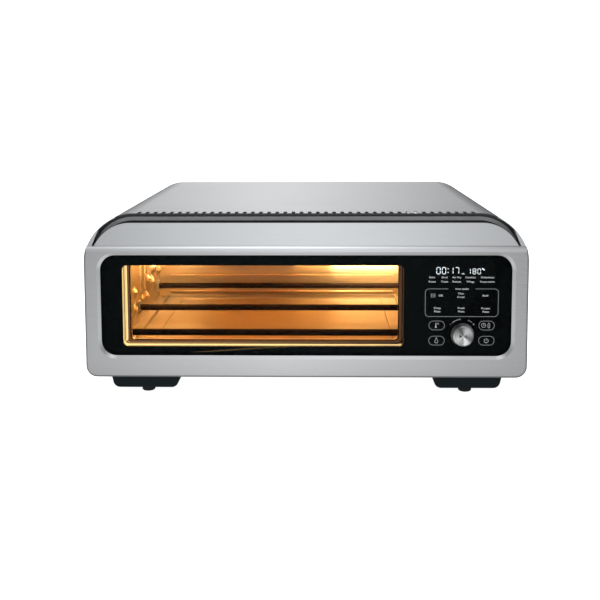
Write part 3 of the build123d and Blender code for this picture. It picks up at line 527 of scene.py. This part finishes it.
def ring(builder, outer, inner, near, far):
    """A flat frame between two outlines with the same number of points."""
    rows = [
        [builder.verts.new(at(x, depth, h)) for x, h in points]
        for points, depth in ((outer, near), (inner, near), (inner, far), (outer, far))
    ]
    count = len(outer)
    for i in range(count):
        j = (i + 1) % count
        for a in range(4):
            b = (a + 1) % 4
            builder.faces.new((rows[a][i], rows[a][j], rows[b][j], rows[b][i]))


def rounded_line(x, height, wide, high, radius, steps=8):
    """Points round a rounded rectangle, from the middle of its top side, clockwise."""
    points = []
    for turn, (sx, sh) in enumerate(((1, 1), (1, -1), (-1, -1), (-1, 1))):
        cx, ch = x + sx * (wide / 2 - radius), height + sh * (high / 2 - radius)
        for i in range(steps + 1):
            angle = math.radians(90 - 90 * turn - 90 * i / steps)
            points.append((cx + radius * math.cos(angle), ch + radius * math.sin(angle)))
    return points


def circle_line(x, height, radius, start=0, end=360, steps=24):
    full = abs(end - start) >= 360
    count = steps if full else steps + 1
    return [
        (
            x + radius * math.cos(math.radians(start + (end - start) * i / steps)),
            height + radius * math.sin(math.radians(start + (end - start) * i / steps)),
        )
        for i in range(count)
    ]


def words(builder, text, x, height, size, near, far, stretch=1.0):
    """Adds lettering centred on a point, its size the height of a capital, in millimetres."""
    curve = bpy.data.curves.new("lettering", "FONT")
    curve.body = text
    curve.align_x = "CENTER"
    curve.size = size / 0.7
    curve.offset = 0.008 * size
    curve.resolution_u = 2
    holder = bpy.data.objects.new("lettering", curve)
    mesh = bpy.data.meshes.new_from_object(holder)
    shape = bmesh.new()
    shape.from_mesh(mesh)
    bmesh.ops.remove_doubles(shape, verts=shape.verts, dist=1e-5)
    grown = bmesh.ops.extrude_face_region(shape, geom=shape.faces[:])
    moved = {v for v in grown["geom"] if isinstance(v, bmesh.types.BMVert)}
    for v in shape.verts:
        v.co = at(x + v.co.x * stretch, far if v in moved else near, height - size / 2 + v.co.y)
    holding = bpy.data.meshes.new("lettering")
    shape.to_mesh(holding)
    shape.free()
    builder.from_mesh(holding)
    for block in (holding, mesh):
        bpy.data.meshes.remove(block)
    bpy.data.objects.remove(holder)
    bpy.data.curves.remove(curve)


# ---------------------------------------------------------------- print and display on the door glass
PRINT = (2.13, 2.19)  # depths of the printed marks, just proud of the glass

SEGMENTS = {"0": "abcdef", "1": "bc", "7": "abc", "8": "abcdefg"}  # lit bars of each figure


def digit(builder, figure, x, height, wide, high, thick):
    """A seven-segment figure, its lower left corner at (x, height)."""
    half = high / 2
    ends = {
        "a": ((0, high), (wide, high)), "g": ((0, half), (wide, half)), "d": ((0, 0), (wide, 0)),
        "f": ((0, half), (0, high)), "b": ((wide, half), (wide, high)),
        "e": ((0, 0), (0, half)), "c": ((wide, 0), (wide, half)),
    }
    gap = thick * 0.7 + 0.2
    for name in SEGMENTS[figure]:
        (x0, h0), (x1, h1) = ends[name]
        way = Vector((x1 - x0, h1 - h0)).normalized()
        side = Vector((-way.y, way.x)) * thick / 2
        a = Vector((x + x0, height + h0)) + way * gap
        b = Vector((x + x1, height + h1)) - way * gap
        tip = way * thick / 2
        outline = [a - tip * 0.9, a + side, b + side, b + tip * 0.9, b - side, a - side]
        slab(builder, [(p.x, p.y) for p in outline], *PRINT)


digits = bmesh.new()
for figure, x in (("0", 144.3), ("0", 150.3), ("1", 158.4), ("7", 164.6)):
    digit(digits, figure, x, 116.7, 3.8, 7.2, 0.5)
for height in (118.3, 122.4):
    slab(digits, circle_line(156.8, height, 0.45, steps=8), *PRINT)
for figure, x in (("1", 178.0), ("8", 183.9), ("0", 189.2)):
    digit(digits, figure, x, 116.6, 3.1, 5.9, 0.45)
ribbon(digits, [(194.0, 123.0), (196.5, 120.8)], 1.0, *PRINT)
words(digits, "min", 173.2, 117.0, 1.3, *PRINT, stretch=1.1)
piece_from(digits, "display_digits", display_white, "door")

labels = bmesh.new()
COLUMNS = (139.4, 153.0, 166.3, 181.3, 200.0)  # middles of the preset names
for height, row in (
    (112.9, ("Bake", "Broil", "Air Fry", "Cookies", "Dehydrate")),
    (108.1, ("Roast", "Toast", "Reheat", "Wings", "Keep warm")),
):
    for text, x in zip(row, COLUMNS):
        words(labels, text, x, height, 1.9, *PRINT, stretch=1.25)
words(labels, "Oven modes", 172.2, 100.1, 2.0, *PRINT)
words(labels, "OK", 149.1, 92.6, 2.1, *PRINT, stretch=1.15)
LINE_STEP = 3.8  # from one line of a label to the next
for lines, x, height in (
    (("Thin", "Crust"), 171.0, 92.9),
    (("Beef",), 197.9, 92.6),
    (("Crisp", "Pizza"), 145.3, 76.7),
    (("Fresh", "Pizza"), 171.6, 76.7),
    (("Frozen", "Pizza"), 198.5, 76.4),
):
    top = height + (len(lines) - 1) * LINE_STEP / 2
    for i, text in enumerate(lines):
        words(labels, text, x, top - LINE_STEP * i, 2.0, *PRINT, stretch=1.25)
piece_from(labels, "panel_labels", white_print, "door")

outlines = bmesh.new()
OUTLINE = 0.5  # width of the lines round the box and the touch pads
BOX_MIDDLE, BOX_HEIGHT, BOX_WIDE, BOX_HIGH = 172.1, 84.5, 80.1, 31.0
box = rounded_line(BOX_MIDDLE, BOX_HEIGHT, BOX_WIDE, BOX_HIGH, 4.2)
box_top = BOX_HEIGHT + BOX_HIGH / 2
ribbon(outlines, [(187.0, box_top)] + box + [(157.2, box_top)], OUTLINE, *PRINT)
PADS = ((144.9, 59.0), (144.9, 41.9), (199.8, 59.0), (199.8, 41.9))
PAD_WIDE, PAD_HIGH = 17.0, 10.0
for x, height in PADS:
    ribbon(outlines, rounded_line(x, height, PAD_WIDE, PAD_HIGH, 4.8), OUTLINE, *PRINT, closed=True)
# the three by three grid of dots on the menu mark
for row in range(3):
    for column in range(3):
        slab(outlines, rounded_line(138.7 + 1.9 * column, 91.0 + 1.6 * row, 1.3, 0.9, 0.2, 2), *PRINT)
# arcs and dots over the knob
ARC = 16.6
ribbon(outlines, circle_line(KNOB_X, KNOB_H, ARC, 132, 96, 10), 0.9, *PRINT)
ribbon(outlines, circle_line(KNOB_X, KNOB_H, ARC, 68, 50, 6), 0.6, *PRINT)
slab(outlines, circle_line(185.5, 60.4, 0.95, steps=12), *PRINT)
slab(outlines, circle_line(159.8, 60.2, 0.55, steps=12), *PRINT)
piece_from(outlines, "panel_outlines", grey_print, "door")

icons = bmesh.new()


def thermometer(x, height):
    ribbon(icons, [(x, height + 2.7), (x, height - 0.8)], 0.8, *PRINT)
    slab(icons, circle_line(x, height - 1.7, 1.0, steps=14), *PRINT)


def teardrop(x, height, radius):
    """A drop outline with its point up."""
    round_part = circle_line(x, height, radius, 30, -210, 16)
    ribbon(icons, round_part + [(x, height + 2.6 * radius)], 0.45, *PRINT, closed=True)


thermometer(144.0, 59.0)
ribbon(icons, circle_line(146.6, 61.0, 0.7, 20, 340, 8), 0.35, *PRINT)
teardrop(144.7, 40.9, 1.7)
slab(icons, [(144.0, 44.1), (145.4, 44.1), (144.7, 45.7)], *PRINT)
ribbon(icons, circle_line(196.5, 59.2, 2.3), 0.4, *PRINT, closed=True)
ribbon(icons, [(196.5, 60.7), (196.5, 59.2), (197.7, 58.6)], 0.35, *PRINT)
ribbon(icons, rounded_line(202.3, 59.0, 1.9, 5.4, 0.9, 3), 0.4, *PRINT, closed=True)
ribbon(icons, circle_line(199.6, 41.9, 2.3, 120, 420, 20), 0.45, *PRINT)
ribbon(icons, [(199.6, 44.5), (199.6, 41.9)], 0.45, *PRINT)
piece_from(icons, "panel_icons", icon_print, "door")

# play and pause marks engraved and filled on the knob's face
marks = bmesh.new()
FACE = (KNOB_FACE - 0.06, KNOB_FACE + 0.02)
slab(marks, [(KNOB_X - 4.4, KNOB_H + 1.9), (KNOB_X - 4.4, KNOB_H - 2.1), (KNOB_X - 1.2, KNOB_H - 0.1)], *FACE)
for x in (1.6, 3.4):
    slab(marks, rounded_line(KNOB_X + x, KNOB_H - 0.1, 0.8, 3.2, 0.2, 2), *FACE)
piece_from(marks, "knob_marks", mark_black, "knob")

# ---------------------------------------------------------------- heating coils
tubes_low, tubes_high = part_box("heating_coils")
COIL_RADIUS = (tubes_high.z - tubes_low.z) / 2 - 0.5 * MM
WIRE = 0.42 * MM
PITCH = 2.5 * MM
COIL_DEPTHS = (72.0, 190.0, 308.0)
BARE_END = 2 * MM  # tube without coil at each end
coils = bmesh.new()
STEPS, SIDES = 12, 6  # sections in a turn, and sides of the wire
for depth in COIL_DEPTHS:
    middle = Vector((0, FRONT + depth * MM, (tubes_low.z + tubes_high.z) / 2))
    turns = int((tubes_high.x - tubes_low.x - 2 * BARE_END) / PITCH)
    rings = []
    for i in range(turns * STEPS + 1):
        angle = 2 * math.pi * i / STEPS
        spoke = Vector((0, math.cos(angle), math.sin(angle)))
        centre = middle + spoke * COIL_RADIUS
        centre.x = tubes_low.x + BARE_END + PITCH * i / STEPS
        rings.append(
            [
                coils.verts.new(
                    centre
                    + spoke * WIRE * math.cos(2 * math.pi * k / SIDES)
                    + Vector((WIRE * math.sin(2 * math.pi * k / SIDES), 0, 0))
                )
                for k in range(SIDES)
            ]
        )
    for one, two in zip(rings, rings[1:]):
        for k in range(SIDES):
            coils.faces.new((one[k], one[(k + 1) % SIDES], two[(k + 1) % SIDES], two[k]))
    coils.faces.new(rings[0])
    coils.faces.new(list(reversed(rings[-1])))
coil_piece = piece_from(coils, "wound_coils", coil_wire, "root", smooth=True)
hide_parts("heating_coils")

# ---------------------------------------------------------------- embossing on the cavity's left wall
# the floor reaches under the 1 mm left wall, so this is just clear of the wall's inner face
WALL_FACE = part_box("cavity_floor")[0].x + 1.02 * MM


def wall_point(depth, height, lift):
    """A point a little way off the left wall's face."""
    return Vector((WALL_FACE + lift * MM, FRONT + depth * MM, BASE + height * MM))


def dome(builder, depth, height, radius, proud, rings=6, steps=28):
    """A pressed boss on the left wall, facing the cavity."""
    previous = None
    for r in range(rings + 1):
        share = r / rings
        reach = radius * (1 - share)
        lift = proud * (0.5 - 0.5 * math.cos(math.pi * share))
        if r == rings:
            tip = builder.verts.new(wall_point(depth, height, lift))
            for k in range(steps):
                builder.faces.new((previous[k], previous[(k + 1) % steps], tip))
            continue
        circle = [
            builder.verts.new(
                wall_point(
                    depth + reach * math.cos(2 * math.pi * k / steps),
                    height + reach * math.sin(2 * math.pi * k / steps),
                    lift,
                )
            )
            for k in range(steps)
        ]
        if previous:
            for k in range(steps):
                after = (k + 1) % steps
                builder.faces.new((previous[k], previous[after], circle[after], circle[k]))
        else:
            builder.faces.new(list(reversed(circle)))
        previous = circle


bosses = bmesh.new()
for depth, height, radius, proud in (
    (290, 72, 13, 6), (330, 60, 9, 5), (279, 53, 11, 5), (252, 62, 7, 4), (240, 41, 7, 4), (160, 62, 9, 4),
    (160, 40, 9, 4), (120, 50, 8, 4), (210, 44, 6, 3),
):
    dome(bosses, depth, height, radius, proud)
piece_from(bosses, "wall_bosses", cavity_steel, "root", smooth=True)

# ---------------------------------------------------------------- bead round the recess trim
SHELL_HALF, SHELL_TOP, SHELL_RADIUS = 245.0, 180.5, 50.0
BEAD_INSET, BEAD_LOW, BEAD_WIDTH = 6.1, 149.0, 4.4
BEAD_DEPTHS = (31.5, 32.95)


def arch_line(inset, low):
    """Points along the shell's arch, inset from its skin, from a height on its left to that on its right."""
    radius, spring = SHELL_RADIUS - inset, SHELL_TOP - SHELL_RADIUS
    start = math.degrees(math.asin((low - spring) / radius))
    left = circle_line(SHELL_RADIUS - SHELL_HALF, spring, radius, 180 - start, 90, 20)
    right = circle_line(SHELL_HALF - SHELL_RADIUS, spring, radius, 90, start, 20)
    return left + right


bead = bmesh.new()
ribbon(bead, arch_line(BEAD_INSET, BEAD_LOW), BEAD_WIDTH, *BEAD_DEPTHS)
piece_from(bead, "recess_bead", bead_metal, "root")

# ---------------------------------------------------------------- printed ring on the inner glass
GLASS_FACE = (17.85, 17.97)  # depths of print on the inner glass
border = bmesh.new()
ring(
    border,
    rounded_line(-46.4, 81.2, 307.6, 91.6, 3.0),
    rounded_line(-46.65, 81.6, 301.9, 87.8, 5.0),
    *GLASS_FACE,
)
piece_from(border, "glass_border", brown_print, "door")

# dark lines just in front of the border and of the channel's ledge
edge_lines = bmesh.new()
BORDER_FRONT, LEDGE_FRONT = (17.7, 17.84), (13.66, 13.78)
ribbon(edge_lines, rounded_line(-46.65, 82.0, 301.5, 87.6, 4.8), 1.1, *BORDER_FRONT, closed=True)
ribbon(edge_lines, rounded_line(-47.6, 81.2, 310.8, 91.9, 4.0), 0.9, *LEDGE_FRONT, closed=True)
piece_from(edge_lines, "glass_edge_lines", black_print, "door")

# strip of the channel's steel between the border and the channel's left side, in the channel's finish with
# its painted warm glow
rim = bmesh.new()
ribbon(rim, [(-201.6, 37.5), (-201.6, 124.5)], 1.9, *GLASS_FACE)
piece_from(rim, "glass_left_rim", channel_steel, "door")


# ---------------------------------------------------------------- floor, world and lights
def area_light(name, location, size, energy, tint, target, size_y):
    """A soft rectangular lamp that the camera doesn't see, its sides in metres."""
    data = bpy.data.lights.new(name, "AREA")
    data.shape = "RECTANGLE"
    data.size = size
    data.size_y = size_y
    data.energy = energy
    data.color = tint
    light = bpy.data.objects.new(name, data)
    light.location = location
    direction = Vector(target) - Vector(location)
    light.rotation_euler = direction.to_track_quat("-Z", "Y").to_euler()
    light.visible_camera = False
    bpy.context.scene.collection.objects.link(light)


# seen directly the floor is plain white; in reflections it glows with a painted pool of light, brightest in
# the middle, with painted shade close to the oven
floor_mesh = bpy.data.meshes.new("floor")
floor_shape = bmesh.new()
bmesh.ops.create_grid(floor_shape, x_segments=8, y_segments=8, size=6)
floor_shape.to_mesh(floor_mesh)
floor_shape.free()
floor = bpy.data.objects.new("floor", floor_mesh)
bpy.context.scene.collection.objects.link(floor)
floor_paint, t = fresh("floor_paint")
tone = t.noise(t.place(), 1.5, detail=2.0)
seen = t.node("ShaderNodeLightPath").outputs["Is Camera Ray"]
across = t.node("ShaderNodeSeparateXYZ")
t.join(t.place(), across.inputs[0])
pool = t.span(t.maths("ABSOLUTE", t.maths("ADD", across.outputs["X"], 0.04)), 1.6, 0.5, 0.0, 0.5)
shade = t.maths(
    "MAXIMUM",
    t.span(across.outputs["Y"], 1.0, 0.22, FRONT - 0.1, FRONT - 0.02),
    t.span(across.outputs["Y"], 0.0, 0.9, 0.25, 0.5),
)
reflected = t.node("ShaderNodeEmission")
t.feed(reflected, "Strength", t.maths("MULTIPLY", pool, shade))
direct = t.principled(
    Base_Color=t.blend(tone, colour(0.86, 0.86, 0.86), colour(0.9, 0.9, 0.9)),
    Roughness=0.8,
    Specular_IOR_Level=0.1,
    Emission_Color=colour(1, 1, 1),
    Emission_Strength=0.95,
)
choice = t.node("ShaderNodeMixShader")
t.feed(choice, 0, seen)
t.join(reflected.outputs[0], choice.inputs[1])
t.join(direct.outputs[0], choice.inputs[2])
t.finish(choice.outputs[0])
dress(floor, floor_paint)

world = bpy.data.worlds.new("studio")
bpy.context.scene.world = world
t = Tree(world)
sky = t.node("ShaderNodeTexCoord").outputs["Generated"]
parts = t.node("ShaderNodeSeparateXYZ")
t.join(sky, parts.inputs[0])
east, north, up = (parts.outputs[axis] for axis in "XYZ")
# the studio is brightest over the middle and falls off to both sides
centre = t.span(north, -0.042, 0.045, -1.0, 0.0)
sideways = t.maths("ABSOLUTE", t.maths("ADD", east, centre))
dimmest = t.span(north, 0.35, 0.17, 0.0, 0.5)
fall = t.span(sideways, 1.0, dimmest, 0.02, 0.36)
forward = t.span(north, 0.44, 0.0, -0.7, 0.2)
# soft panels: one high and behind, one far in front, one straight overhead
middle = t.span(t.maths("ABSOLUTE", t.maths("ADD", east, 0.06)), 1.0, 0.0, 0.03, 0.3)
overhead = t.maths("MULTIPLY", t.span(north, 0.0, 1.5, -0.5, 0.0), t.span(up, 0.0, 1.0, 0.42, 0.6))
ahead = t.maths("MULTIPLY", t.span(north, 0.5, 0.0, -0.7, -0.5), t.span(up, 0.0, 1.0, 0.0, 0.1))
crown = t.span(up, 0.0, 1.2, 0.84, 0.98)
panels = t.maths("MULTIPLY", t.maths("ADD", t.maths("ADD", overhead, ahead), crown), middle)
BASE_LEVEL = 1.01
level = t.maths("ADD", t.maths("ADD", BASE_LEVEL, forward), panels)
seen = t.node("ShaderNodeLightPath").outputs["Is Camera Ray"]
strength = t.maths("ADD", t.maths("MULTIPLY", level, fall), seen)
background = t.node("ShaderNodeBackground")
background.inputs["Color"].default_value = colour(0.98, 0.99, 1.0)
t.join(strength, background.inputs["Strength"])
output = t.node("ShaderNodeOutputWorld")
t.join(background.outputs[0], output.inputs["Surface"])

bpy.context.scene.view_settings.view_transform = "Standard"

# glow inside the cavity: one light faces its floor, the others its back and left walls
GLOW = (1.0, 0.44, 0.05)
WARM = (1.0, 0.6, 0.2)
PALE = (1.0, 0.74, 0.38)
for lamp in (
    ("heat_top", at(-40, 190, 121), 0.30, 0.13, GLOW, at(-40, 190, 0), 0.24),
    ("heat_back", at(70, 300, 76), 0.18, 0.2, WARM, at(80, 345, 46), 0.03),
    ("heat_right", at(86, 318, 67), 0.10, 0.22, PALE, at(90, 345, 44), 0.03),
    ("heat_left", at(-165, 180, 112), 0.07, 0.34, WARM, at(-221, 190, 78), 0.05),
    ("heat_corner", at(-190, 290, 84), 0.06, 0.09, PALE, at(-221, 312, 56), 0.03),
):
    area_light(*lamp)
